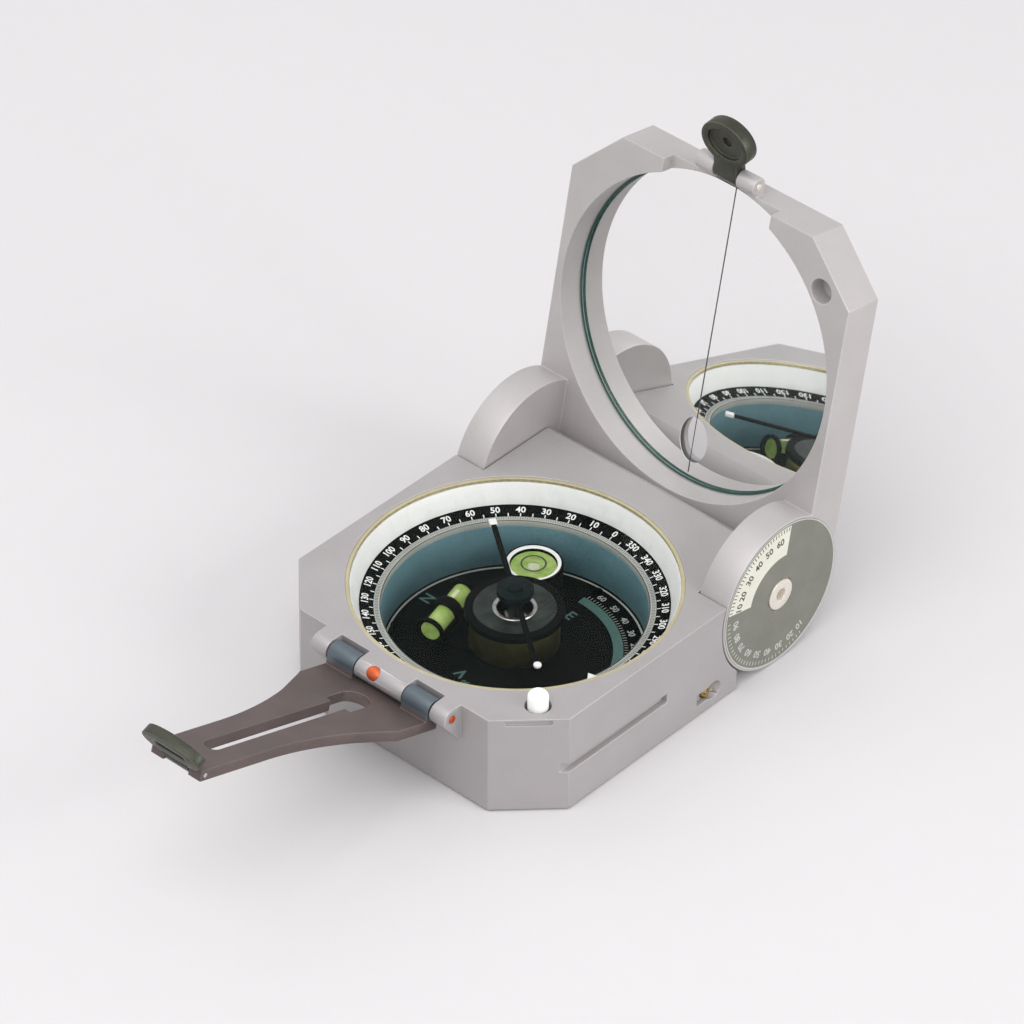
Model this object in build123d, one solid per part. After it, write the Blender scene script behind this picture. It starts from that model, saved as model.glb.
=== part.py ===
from build123d import *
import os
from math import atan2, cos, degrees, hypot, pi, radians, sin, tan

# A pocket transit for field geology: an aluminium case with a needle compass and
# two spirit levels, a mirror lid on two side ears, and two folding sights.
# Millimetres, +Z up. The origin is the centre of the dial on the case's underside.
# +X is the scale-disc side, +Y is the lid hinge, -Y is the long sight.

os.makedirs("parts", exist_ok=True)

# ---- driving dimensions -------------------------------------------------------
HALF_WIDTH = 35.5          # case and lid, half of their width
CASE_FRONT = 34.6          # dial centre to the case's front face
CASE_HEIGHT = 22.8
CHAMFER = 11.0             # the case's front corners
FLOOR = 1.8                # floor thickness of the dial well

HINGE_Y = 37.65            # the lid's hinge axis runs along X
HINGE_Z = 16.9
EAR_R = 16.8               # the lid's round ears
EAR_T = 7.1
HINGE_GAP = 0.25           # washer space between case and ear
REAR_R = 6.5               # the case's rounded rear edge, about the hinge axis
LID_REST = 100.7           # how far the lid stands open at rest, degrees

LID_IN = 22.9              # lid faces, given with the lid closed
LID_OUT = 32.0
LID_FRONT = 34.7
LID_CHAMFER = 11.3
LID_END_V = 3.0            # the slab ends this far before the hinge axis
RECESS_R = 33.8            # mirror recess in the lid
RECESS_Y = -0.75
MIRROR_DEPTH = 5.9
RECESS_TOP = 30.8
GLASS_T = 1.8
MIRROR_R = 33.5

WELL_R = 33.0              # dial well
CONE_R = 32.3              # white ring, top edge
CARD_R = 30.3              # graduated ring, outer edge of the card
LIP_R = 27.5
LINER_R = 26.0
CARD_TOP = 17.6
LIP_TOP = 17.0
DIAL_TOP = 5.7             # dial plate
DIAL_R = 28.8

CARD_LOW = 15.75
CROWN_IN, CROWN_OUT, CROWN_TOP = 28.9, 30.8, 8.6

MODULE = 0.5               # declination gear
ADDENDUM, DEDENDUM = 0.4, 0.6
RING_TEETH = 120
PINION_TEETH = 10
SCREW_ANGLE = 27.4         # where the declination screw stands, about +Z from +X
PINION_Z = 4.3
TOOTH_GAP = 0.16           # side clearance of each flank

PIN_X, PIN_Y = 28.3, -24.7      # needle-lift pin
PIN_R, PIN_PROUD, PIN_TRAVEL = 2.05, 3.5, 1.5

SIGHT_Y, SIGHT_Z = -37.0, 20.6  # long sight's hinge axis, along X
SIGHT_REST = 18.0               # its angle above level at rest
KNUCKLE_R = 2.2
ARM_L = 58.0
ARM_LOW, ARM_HIGH = -4.7, -2.4  # the arm's faces, measured from its hinge axis
PEEP_REST = 50.0                # the peep plate's angle from the arm
LID_SIGHT_Y, LID_SIGHT_Z = -36.9, 26.2
LID_SIGHT_REST = -15.0           # below zero it leans over the open case

CUP_R = 9.9                # damping cup in the middle of the dial
CUP_TOP = 16.4
NEEDLE_Z = 19.2
NEEDLE_L = 23.7            # half its length
NEEDLE_ANGLE = degrees(atan2(14.2, -19.0))
ROUND_X, ROUND_Y = -9.0, 15.4
TUBE_X, TUBE_Y, TUBE_Z = -12.7, -5.8, 11.6
TUBE_TURN = 14.7

parts = {}


def keep(name, shape):
    """Store a finished sub-part under its node name."""
    parts[name] = shape


def disc(radius, low, high, x=0.0, y=0.0):
    """Upright cylinder between two heights."""
    return Pos(x, y, (low + high) / 2) * Cylinder(radius, high - low)


def block(x0, x1, y0, y1, z0, z1):
    """Box between two opposite corners."""
    centre = Pos((x0 + x1) / 2, (y0 + y1) / 2, (z0 + z1) / 2)
    return centre * Box(x1 - x0, y1 - y0, z1 - z0)


def rod(radius, x0, x1, y, z):
    """Cylinder along X."""
    return Pos((x0 + x1) / 2, y, z) * Rot(0, 90, 0) * Cylinder(radius, x1 - x0)


def ring(outline):
    """Solid of revolution about Z from (radius, height) points."""
    points = [(r, 0, z) for r, z in outline]
    return revolve(make_face(Polyline(*points, close=True)), Axis.Z)


def prism_x(outline, x0, x1):
    """Prism along X from (y, z) points."""
    points = [(x0, y, z) for y, z in outline]
    return extrude(make_face(Polyline(*points, close=True)), amount=x1 - x0, dir=(1, 0, 0))


def prism_z(outline, z0, z1):
    """Prism along Z from (x, y) points."""
    points = [(x, y, z0) for x, y in outline]
    return extrude(make_face(Polyline(*points, close=True)), amount=z1 - z0, dir=(0, 0, 1))


def turned(shape, angle, y, z):
    """Turn a shape about the X-parallel axis at y, z."""
    return Pos(0, y, z) * Rot(angle, 0, 0) * Pos(0, -y, -z) * shape


def about_z(shape, angle):
    """Turn a shape about the dial's axis."""
    return Rot(0, 0, angle) * shape


def open_lid(shape):
    """Take a shape from the closed lid to the open rest position."""
    return turned(shape, -LID_REST, HINGE_Y, HINGE_Z)


def octagon(half, front, back, chamfer):
    """Plan outline with chamfered front corners."""
    return [
        (-half, back), (-half, -front + chamfer), (-half + chamfer, -front),
        (half - chamfer, -front), (half, -front + chamfer), (half, back),
    ]


# ---- case ---------------------------------------------------------------------
def sight_bracket():
    """Front hinge barrel of the long sight: two outer knuckles on ribs and a middle one."""
    rib_low = CASE_HEIGHT - 9.5
    front = -CASE_FRONT
    body = None
    for x0, x1, low in ((-17.5, -13.5, rib_low), (13.5, 17.5, rib_low), (-6.1, 6.1, SIGHT_Z - KNUCKLE_R)):
        knuckle = rod(KNUCKLE_R, x0, x1, SIGHT_Y, SIGHT_Z)
        web = prism_x([
            (front + 0.5, CASE_HEIGHT), (SIGHT_Y, CASE_HEIGHT), (SIGHT_Y - KNUCKLE_R, SIGHT_Z),
            (SIGHT_Y - KNUCKLE_R * 0.7, SIGHT_Z - KNUCKLE_R * 0.7), (front + 0.5, low),
        ], x0, x1)
        piece = knuckle + web
        body = piece if body is None else body + piece
    body -= rod(0.8, -17.5, 17.5, SIGHT_Y, SIGHT_Z)
    return body


def case_body():
    rear = HINGE_Y + REAR_R + 1
    body = prism_z(octagon(HALF_WIDTH, CASE_FRONT, rear, CHAMFER), 0, CASE_HEIGHT)
    back_wall = HINGE_Y - 0.75
    inner = HALF_WIDTH - EAR_T - HINGE_GAP
    # the middle of the rear end is rounded about the hinge axis, flat below it
    round_end = rod(REAR_R, -HALF_WIDTH, HALF_WIDTH, HINGE_Y, HINGE_Z)
    body -= block(-40, 40, back_wall, rear + 1, -1, CASE_HEIGHT + 1) - round_end
    # the ears of the lid turn in a cut-out on each side
    for side in (-1, 1):
        x0, x1 = sorted((side * inner, side * 40))
        body -= rod(EAR_R + 0.3, x0, x1, HINGE_Y, HINGE_Z)
        body -= block(x0, x1, 25.4, rear + 1, -1, CASE_HEIGHT + 1)
    low_edges = body.edges().filter_by(lambda e: e.bounding_box().max.Z < 0.01)
    body = chamfer(low_edges, 0.6)
    # stepped dial well
    body -= disc(WELL_R, 21.0, CASE_HEIGHT + 1)
    body -= disc(32.7, 15.6, 21.1)
    body -= disc(31.3, FLOOR, 15.7)
    # recess on the underside for the clinometer lever, with its raised floor inside
    body += disc(17.0, FLOOR, 2.8)
    body -= disc(15.5, -1, 1.4)
    body -= disc(2.06, 0, 4)
    # pocket for the declination pinion, and its screw hole through the side wall
    across = Pos(0, 0, PINION_Z) * Rot(0, 90, 0)
    body -= about_z(Pos(30.5, 0, 0) * across * Cylinder(3.1, 4.2), SCREW_ANGLE)
    body -= about_z(Pos(36.0, 0, 0) * across * Cylinder(1.25, 10), SCREW_ANGLE)
    body -= about_z(Pos(39.6, 0, 0) * across * Cylinder(1.9, 4), SCREW_ANGLE)
    # slot around the declination screw's mouth
    body -= block(34.2, 40, 13.6, 19.6, 2.9, 5.7)
    # bore of the lift pin and the lever's way to it
    body -= disc(2.6, FLOOR, CASE_HEIGHT + 1, PIN_X, PIN_Y)
    way = Pos(33.5, 0, 0) * block(-5, 4, -1.8, 1.8, FLOOR, 6.2)
    body -= about_z(way, degrees(atan2(PIN_Y, PIN_X)))
    # tripod-bracket grooves along both sides, and the thumbnail notch in the corner
    for side in (-1, 1):
        x0, x1 = sorted((side * (HALF_WIDTH - 1.4), side * 40))
        body -= block(x0, x1, -40, 4.6, 9.6, 11.7)
    notch = Pos(HALF_WIDTH - CHAMFER / 2, -CASE_FRONT + CHAMFER / 2, CASE_HEIGHT - 1.0) * Rot(0, 0, 45)
    body -= notch * Box(9.0, 1.0, 1.0)
    # hinge screw threads
    for side in (-1, 1):
        body -= rod(1.6, *sorted((side * 20.0, side * 40)), HINGE_Y, HINGE_Z)
    body += sight_bracket()
    # friction plug hole in the middle knuckle
    body -= plug_bore()
    keep("case_body", body)


def plug_bore():
    """Bore of the friction plug: in the middle knuckle, facing up and forward."""
    return Pos(-1.7, SIGHT_Y, SIGHT_Z) * Rot(45, 0, 0) * Pos(0, 0, KNUCKLE_R) * Cylinder(1.5, 2.4)


def glass_stack():
    keep("glass_gasket", ring([(32.25, 21.0), (WELL_R, 21.0), (WELL_R, 22.65), (32.25, 22.65)]))
    keep("cover_glass", disc(32.25, 22.0, 22.7))
    keep("white_ring", ring([
        (CARD_R, 17.8), (32.7, 17.8), (32.7, 21.0), (32.25, 21.0), (32.25, 22.0), (CONE_R - 0.3, 22.0),
    ]))
    tab = prism_z([(31.9, -1.3), (31.9, 1.3), (29.9, 0)], 21.2, 21.9)
    tab -= parts["white_ring"]
    keep("index_tab", about_z(tab, -20))


def gear_point(radius, angle):
    """Point on a circle in the pinion's own plane."""
    return (radius * cos(angle), radius * sin(angle))


def pinion_section(turn):
    """Outline of the pinion: straight-flanked teeth on a root circle."""
    pitch_r = MODULE * PINION_TEETH / 2
    root, tip = pitch_r - DEDENDUM, pitch_r + ADDENDUM
    half_pitch = MODULE * pi / 4 - TOOTH_GAP
    points = []
    for i in range(PINION_TEETH):
        middle = turn + 2 * pi * i / PINION_TEETH
        for radius, half in ((root, half_pitch + 0.15), (tip, half_pitch - 0.2)):
            points.append((radius, middle - half / radius))
        for radius, half in ((tip, half_pitch - 0.2), (root, half_pitch + 0.15)):
            points.append((radius, middle + half / radius))
    return [gear_point(r, a) for r, a in points]


def declination():
    """Graduated ring that turns in the well, driven by a pinion and screw."""
    card = ring([
        (LIP_R, LIP_TOP), (CARD_R, CARD_TOP), (32.35, CARD_TOP), (32.35, CARD_LOW), (LIP_R, CARD_LOW),
    ])
    keep("azimuth_card", card)
    lip_in = LINER_R + 0.1
    keep("tick_ring", ring([
        (lip_in, CARD_LOW), (LIP_R, CARD_LOW), (LIP_R, LIP_TOP), (lip_in, LIP_TOP),
    ]))
    low, flange = DIAL_TOP + 0.3, 7.6
    skin = LINER_R + 0.6
    keep("well_liner", ring([
        (LINER_R, low), (skin, low), (skin, flange), (CROWN_IN, flange), (CROWN_IN, CROWN_TOP),
        (skin, CROWN_TOP), (skin, CARD_LOW), (LINER_R, CARD_LOW),
    ]))
    pitch_z = PINION_Z + MODULE * PINION_TEETH / 2
    tip_z, root_z = pitch_z - ADDENDUM, pitch_z + DEDENDUM
    crown = ring([
        (CROWN_IN, root_z), (CROWN_OUT, root_z), (CROWN_OUT, CROWN_TOP), (CROWN_IN, CROWN_TOP),
    ])
    half = MODULE * pi / 4 - TOOTH_GAP
    lean = ADDENDUM * tan(radians(20))
    tooth = prism_x([
        (-half - lean, root_z + 0.2), (half + lean, root_z + 0.2), (half - lean, tip_z), (lean - half, tip_z),
    ], CROWN_IN + 0.15, CROWN_OUT - 0.1)
    first = SCREW_ANGLE + 180 / RING_TEETH
    teeth = [about_z(tooth, first + 360 * i / RING_TEETH) for i in range(RING_TEETH)]
    keep("crown_gear", crown.fuse(*teeth))
    # pinion and slotted screw, both on the radial shaft
    outline = [(x, y + PINION_Z) for x, y in pinion_section(pi / 2)]
    start, end = CROWN_IN + 0.1, CROWN_OUT + 0.1
    pinion = prism_x(outline, start, end) - rod(0.6, start - 1, end + 1, 0, PINION_Z)
    keep("declination_pinion", about_z(pinion, SCREW_ANGLE))
    head = 37.75
    screw = rod(0.6, start, end, 0, PINION_Z) + rod(1.2, end, head, 0, PINION_Z)
    screw += rod(1.75, head, head + 1.15, 0, PINION_Z)
    screw -= block(head + 0.6, head + 2, -2, 2, PINION_Z - 0.2, PINION_Z + 0.2)
    keep("declination_screw", about_z(screw, SCREW_ANGLE))


# ---- dial and levels ------------------------------------------------------------
def dial():
    plate = disc(DIAL_R, DIAL_TOP - 0.6, DIAL_TOP) - disc(2.3, 4, 7)
    posts = []
    for angle in (90.0, 205.0, 335.0):
        x, y = 24.3 * cos(radians(angle)), 24.3 * sin(radians(angle))
        plate -= disc(0.6, 4, 7, x, y)
        screw = disc(0.6, DIAL_TOP - 0.6, DIAL_TOP, x, y) + disc(1.1, DIAL_TOP, DIAL_TOP + 0.3, x, y)
        posts.append(screw + disc(1.8, FLOOR, DIAL_TOP - 0.6, x, y))
    keep("dial_plate", plate)
    keep("dial_posts", Compound(posts))


def round_level():
    place = (ROUND_X, ROUND_Y)
    stand = disc(3.2, DIAL_TOP, 8.4, *place)
    cup = disc(5.9, 8.4, 13.4, *place) - disc(5.0, 9.4, 14, *place)
    keep("round_level_housing", stand + cup)
    vial = disc(5.0, 9.4, 13.2, *place) - disc(4.6, 9.9, 12.6, *place)
    keep("round_level_vial", vial)
    bubble = disc(1.4, 12.0, 12.6, *place)
    fluid = disc(4.6, 9.9, 12.6, *place) - bubble
    keep("round_level_fluid", fluid)
    keep("round_level_bubble", bubble)


def along_tube(shape):
    """Place a shape drawn along X at the long level's own place."""
    return Pos(TUBE_X, TUBE_Y, TUBE_Z) * Rot(0, 0, 90 + TUBE_TURN) * shape


def clinometer():
    """Everything that the underside lever turns about the dial's axis."""
    spindle = disc(2.0, 0.0, DIAL_TOP + 0.4) + disc(3.4, DIAL_TOP + 0.4, DIAL_TOP + 0.7)
    spindle += disc(1.5, DIAL_TOP + 0.7, 8.2)
    keep("clinometer_spindle", spindle - disc(0.8, -1, 0.8))
    lever = disc(4.2, 0.2, 1.1) + prism_z([(-3.0, 0), (-1.6, -13.0), (1.6, -13.0), (3.0, 0)], 0.2, 1.1)
    lever += disc(1.6, 0.2, 1.1, 0, -13.0)
    keep("clinometer_lever", about_z(lever - disc(2.0, -1, 2), -60))
    # vernier arm: a hub, a fan towards the scale, and a foot for the long level
    low, high = DIAL_TOP + 0.7, DIAL_TOP + 1.5
    hub = disc(6.0, low, high)
    fan = [(0, 0)] + [(18.6 * cos(radians(a)), 18.6 * sin(radians(a))) for a in range(-92, -38, 6)]
    foot = prism_z([(0, -4.5), (15.5, -4.5), (15.5, 4.5), (0, 4.5)], low, high)
    foot = about_z(foot, degrees(atan2(TUBE_Y, TUBE_X)))
    keep("vernier_arm", hub + prism_z(fan, low, high) + foot - disc(1.5, low - 1, high + 1))
    # damping cup, its lid, and the post with the jewel pivot
    floor, rim_low = 8.2, 15.0
    cup = disc(CUP_R - 1.0, floor, rim_low) - disc(CUP_R - 1.9, floor + 0.9, rim_low + 1)
    cup += disc(5.0, high, floor)
    cup -= disc(1.5, high - 1, floor)
    keep("damping_cup", cup)
    lid_r = CUP_R - 1.75
    keep("damping_rim", ring([
        (CUP_R - 1.9, rim_low), (CUP_R, rim_low), (CUP_R, CUP_TOP), (lid_r, CUP_TOP),
        (lid_r, CUP_TOP - 0.7), (CUP_R - 1.9, CUP_TOP - 0.7),
    ]))
    keep("damping_lid", disc(lid_r, CUP_TOP - 0.7, CUP_TOP) - disc(3.6, rim_low, CUP_TOP + 1))
    keep("needle_pivot", Pos(0, 0, floor + 0.9) * (Pos(0, 0, 1.0) * Cylinder(1.6, 2.0)
         + Pos(0, 0, 3.0) * Cylinder(0.6, 2.0) + Pos(0, 0, 5.0) * Cone(0.6, 0.06, 2.0)))
    # long level: a black holder with a glass vial in it
    radius, half = 3.0, 7.4
    shell = Rot(0, 90, 0) * (Cylinder(radius, 2 * half) - Cylinder(2.4, 2 * half))
    windows = [block(a, b, -4, 4, 0.2, 4) for a, b in ((-6.4, -1.3), (1.3, 6.4))]
    holder = shell - windows[0] - windows[1]
    stand = block(-3.6, 3.6, -1.6, 1.6, high - TUBE_Z, -2.5)
    keep("long_level_holder", along_tube(holder + stand))
    bore = 2.0
    glass = Rot(0, 90, 0) * (Cylinder(2.4, 2 * half) - Cylinder(bore, 2 * half - 1.2))
    keep("long_level_vial", along_tube(glass))
    bubble = Pos(3.4, 0, 0.9) * Rot(0, 90, 0) * Cylinder(0.9, 3.4)
    fluid = Rot(0, 90, 0) * Cylinder(bore, 2 * half - 1.2) - bubble
    keep("long_level_fluid", along_tube(fluid))
    keep("long_level_bubble", along_tube(bubble))


def needle():
    bar = block(-NEEDLE_L, NEEDLE_L, -0.55, 0.55, NEEDLE_Z, NEEDLE_Z + 0.5)
    bar += disc(2.3, NEEDLE_Z, NEEDLE_Z + 0.5)
    bar -= disc(1.5, 18, 21)
    bar -= block(NEEDLE_L - 1.8, NEEDLE_L, -1, 1, 18, 21)
    keep("needle_bar", about_z(bar, NEEDLE_ANGLE))
    tip = block(NEEDLE_L - 1.8, NEEDLE_L, -0.75, 0.75, NEEDLE_Z - 0.1, NEEDLE_Z + 0.6)
    keep("needle_north_tip", about_z(tip, NEEDLE_ANGLE))
    weight = disc(0.8, NEEDLE_Z + 0.5, NEEDLE_Z + 1.2, -NEEDLE_L + 1.2, 0)
    keep("needle_counterweight", about_z(weight, NEEDLE_ANGLE))
    hub = disc(1.5, 14.7, 21.2) + disc(3.65, 19.7, 21.1) + disc(1.7, 21.1, 21.75)
    hub -= disc(0.35, 14, 15.2)
    keep("needle_hub", hub)
    magnet = block(-6.5, 6.5, -2.0, 2.0, 14.7, 15.3) - disc(1.5, 14, 16)
    keep("needle_magnet", about_z(magnet, NEEDLE_ANGLE))


def lift():
    """Lift pin, its spring, and the rocking lever beneath the dial."""
    top, shoulder = CASE_HEIGHT + PIN_PROUD, CASE_HEIGHT - 2.5
    dome = 0.9
    low, high, axle_z = 3.5, 4.3, 3.75
    pin = disc(PIN_R, shoulder, top - dome, PIN_X, PIN_Y)
    cap = Cone(PIN_R, PIN_R * 0.55, dome, align=(Align.CENTER, Align.CENTER, Align.MIN))
    pin += Pos(PIN_X, PIN_Y, top - dome) * cap
    pin += disc(1.0, high + 0.12, shoulder, PIN_X, PIN_Y)
    keep("lift_pin", pin)
    seat_top = 8.0
    keep("lift_spring", sleeve(1.3, 2.2, seat_top, shoulder))
    keep("lift_spring_seat", sleeve(1.15, 2.6, seat_top - 1.0, seat_top))
    fulcrum, reach = 9.0, hypot(PIN_X, PIN_Y)
    strip = block(4.6, reach + 1.4, -1.2, 1.2, low, high)
    strip += block(fulcrum - 1.0, fulcrum + 1.0, -1.6, 1.6, 3.0, 4.5)
    across = Pos(fulcrum, 0, axle_z) * Rot(90, 0, 0)
    strip -= across * Cylinder(0.4, 8)
    turn = degrees(atan2(PIN_Y, PIN_X))
    keep("lift_lever", about_z(strip, turn))
    keep("lift_axle", about_z(across * Cylinder(0.35, 6.8), turn))
    posts = []
    for side in (-1, 1):
        post = block(fulcrum - 0.9, fulcrum + 0.9, *sorted((side * 2.0, side * 3.4)), 2.8, 4.6)
        posts.append(about_z(post - across * Cylinder(0.35, 8), turn))
    keep("lift_bracket", Compound(posts))


def sleeve(inner, outer, low, high):
    """Tube around the lift pin's axis."""
    return disc(outer, low, high, PIN_X, PIN_Y) - disc(inner, low - 1, high + 1, PIN_X, PIN_Y)


# ---- lid ------------------------------------------------------------------------
def lid():
    back = HINGE_Y - LID_END_V
    slab = prism_z(octagon(HALF_WIDTH, LID_FRONT, back, LID_CHAMFER), LID_IN, LID_OUT)
    for side in (-1, 1):
        x0, x1 = sorted((side * HALF_WIDTH, side * (HALF_WIDTH - EAR_T)))
        slab += rod(EAR_R, x0, x1, HINGE_Y, HINGE_Z)
    slab -= disc(RECESS_R, LID_IN - 1, RECESS_TOP, 0, RECESS_Y)
    for side in (-1, 1):
        slab -= rod(2.06, *sorted((side * 25, side * 40)), HINGE_Y, HINGE_Z)
        slab -= rod(16.3, *sorted((side * (HALF_WIDTH - 0.3), side * 40)), HINGE_Y, HINGE_Z)
    # pocket that clears the long sight's root, and the lift pin's blind hole
    slab -= block(-13.6, 13.6, -40, -28, LID_IN - 1, LID_IN + 3.0)
    slab -= disc(2.5, LID_IN - 1, CASE_HEIGHT + PIN_PROUD + 0.5, PIN_X, PIN_Y)
    # sighting window through the back
    window = Pos(0, 24.3, 31) * extrude(Ellipse(3.5, 5.0).face(), amount=4, both=True)
    slab -= window
    # ears of the small sight
    for side in (-1, 1):
        x0, x1 = sorted((side * 3.05, side * 7.4))
        ear = rod(1.9, x0, x1, LID_SIGHT_Y, LID_SIGHT_Z)
        ear += block(x0, x1, LID_SIGHT_Y, -LID_FRONT + 0.1, LID_SIGHT_Z - 0.3, LID_SIGHT_Z + 1.9)
        slab += ear
    slab -= rod(0.7, -7.4, 7.4, LID_SIGHT_Y, LID_SIGHT_Z)
    keep("lid_frame", open_lid(slab))
    front = LID_IN + MIRROR_DEPTH
    keep("mirror_glass", open_lid(disc(MIRROR_R, front, front + GLASS_T, 0, RECESS_Y)))
    silver = disc(MIRROR_R, front + GLASS_T, RECESS_TOP, 0, RECESS_Y) - window
    keep("mirror_silvering", open_lid(silver))
    keep("sight_line", open_lid(block(-0.15, 0.15, -33.0, 31.6, front - 0.08, front)))
    # thin cushion that beds the mirror's rim in the lid
    bed = disc(RECESS_R, front + 0.4, RECESS_TOP, 0, RECESS_Y)
    keep("mirror_cushion", open_lid(bed - disc(MIRROR_R, front - 1, 31, 0, RECESS_Y)))


def hinge():
    for side, name in ((1, "right"), (-1, "left")):
        face = side * HALF_WIDTH
        plate = rod(16.3, *sorted((face, face - side * 0.3)), HINGE_Y, HINGE_Z)
        plate -= rod(3.6, *sorted((face + side, face - side)), HINGE_Y, HINGE_Z)
        keep("scale_disc" if side > 0 else "plain_disc", open_lid(plate))
        inner = side * (HALF_WIDTH - EAR_T - HINGE_GAP)
        head = rod(3.35, *sorted((face - side * 0.25, face + side * 0.3)), HINGE_Y, HINGE_Z)
        head += rod(2.0, *sorted((inner, face)), HINGE_Y, HINGE_Z)
        head += rod(1.6, *sorted((side * 22.0, inner)), HINGE_Y, HINGE_Z)
        head -= rod(1.3, *sorted((face - side * 1.5, face + side)), HINGE_Y, HINGE_Z)
        keep(f"hinge_screw_{name}", head)
        washer = rod(4.5, *sorted((inner, inner + side * 0.2)), HINGE_Y, HINGE_Z)
        washer -= rod(2.0, *sorted((inner - side, inner + side)), HINGE_Y, HINGE_Z)
        keep(f"hinge_washer_{name}", washer)


def lid_sight():
    """Small sight on the lid's end: a stem and an oval head with a dished peep hole."""
    y, z = LID_SIGHT_Y, LID_SIGHT_Z
    stem = rod(1.7, -2.9, 2.9, y, z) + block(-2.9, 2.9, y - 5.0, y, z - 1.5, z + 1.5)
    head = Pos(0, y - 7.6, z) * extrude(Ellipse(5.9, 4.8).face(), amount=1.5, both=True)
    body = stem + head - disc(1.0, z - 5, z + 5, 0, y - 7.6)
    body -= Pos(0, y - 7.6, z - 1.5) * extrude(Ellipse(4.3, 3.3).face(), amount=0.9, both=True)
    body -= rod(0.73, -4, 4, y, z)
    keep("lid_sight", open_lid(turned(body, -LID_SIGHT_REST, y, z)))
    keep("lid_sight_pin", open_lid(rod(0.7, -7.6, 7.6, y, z)))


# ---- long sight -------------------------------------------------------------------
def arm_place(shape):
    """Raise a shape from the level arm to its rest angle."""
    return turned(shape, -SIGHT_REST, SIGHT_Y, SIGHT_Z)


def long_sight():
    low, high = SIGHT_Z + ARM_LOW, SIGHT_Z + ARM_HIGH
    half = [(-1.8, 13.1), (9.5, 13.1), (10.8, 12.5), (18.3, 9.6)]
    tip = [(39.0, 6.4), (ARM_L - 3.0, 6.4)]
    def edge(side):
        straight = [(side * w, SIGHT_Y - b) for b, w in half]
        bend = ThreePointArc(straight[-1], (side * 7.5, SIGHT_Y - 27.0), (side * tip[0][1], SIGHT_Y - tip[0][0]))
        end = (side * tip[1][1], SIGHT_Y - tip[1][0])
        return Polyline(*straight), bend, Line((side * tip[0][1], SIGHT_Y - tip[0][0]), end)
    left, right = edge(-1), edge(1)
    close = [
        Line((-13.1, SIGHT_Y + 1.8), (13.1, SIGHT_Y + 1.8)),
        Line((-6.4, SIGHT_Y - ARM_L + 3.0), (6.4, SIGHT_Y - ARM_L + 3.0)),
    ]
    face = make_face([*left, *right, *close])
    plate = Pos(0, 0, low) * extrude(face, amount=high - low, dir=(0, 0, 1))
    # the tip forks around the peep plate's tongue
    for side in (-1, 1):
        x0, x1 = sorted((side * 3.2, side * 6.4))
        plate += block(x0, x1, SIGHT_Y - ARM_L, SIGHT_Y - ARM_L + 3.1, low, high)
    # sighting slot, with a wider end near the hinge
    plate -= block(-1.75, 1.75, SIGHT_Y - 48.2, SIGHT_Y - 12.0, low - 1, high + 1)
    plate -= disc(1.75, low - 1, high + 1, 0, SIGHT_Y - 48.2)
    plate -= block(-3.2, 3.2, SIGHT_Y - 12.8, SIGHT_Y - 8.0, low - 1, high + 1)
    plate -= Pos(0, SIGHT_Y - 8.0, (low + high) / 2) * extrude(Ellipse(3.2, 3.0).face(), amount=3, both=True)
    for side in (-1, 1):
        x0, x1 = sorted((side * 6.4, side * 13.1))
        plate += rod(KNUCKLE_R, x0, x1, SIGHT_Y, SIGHT_Z)
        plate += block(x0, x1, SIGHT_Y - 2.0, SIGHT_Y + 1.8, low, SIGHT_Z - 0.8)
    plate -= rod(0.85, -14, 14, SIGHT_Y, SIGHT_Z)
    peep_y, peep_z = SIGHT_Y - ARM_L + 1.2, (low + high) / 2
    plate -= rod(0.5, -6.4, 6.4, peep_y, peep_z)
    keep("long_sight_arm", arm_place(plate))
    keep("long_sight_pin", rod(0.8, -17.7, 17.7, SIGHT_Y, SIGHT_Z))
    plug = plug_bore() & rod(KNUCKLE_R, -5, 5, SIGHT_Y, SIGHT_Z)
    keep("friction_plug", plug - rod(0.8, -5, 5, SIGHT_Y, SIGHT_Z))
    keep("peep_pin", arm_place(rod(0.5, -6.4, 6.4, peep_y, peep_z)))
    # peep plate: drawn in line with the arm, then raised about its own pin
    lens = Pos(0, peep_y - 4.6, peep_z) * extrude(Ellipse(7.25, 3.3).face(), amount=1.15, both=True)
    tongue = rod(1.1, -3.0, 3.0, peep_y, peep_z) + block(-3.0, 3.0, peep_y - 3.0, peep_y, peep_z - 1.1, peep_z + 1.1)
    plate = lens + tongue - rod(0.53, -4, 4, peep_y, peep_z)
    plate -= block(-3.6, 3.6, peep_y - 5.2, peep_y - 4.0, peep_z - 3, peep_z + 3)
    keep("peep_sight", arm_place(turned(plate, -PEEP_REST, peep_y, peep_z)))


case_body()
glass_stack()
declination()
dial()
round_level()
clinometer()
needle()
lift()
lid()
hinge()
lid_sight()
long_sight()

for node, shape in parts.items():
    export_step(shape, f"parts/{node}.step")
print(len(parts), "nodes")
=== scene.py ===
from math import pi, radians

import bpy
from mathutils import Matrix, Vector


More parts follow.
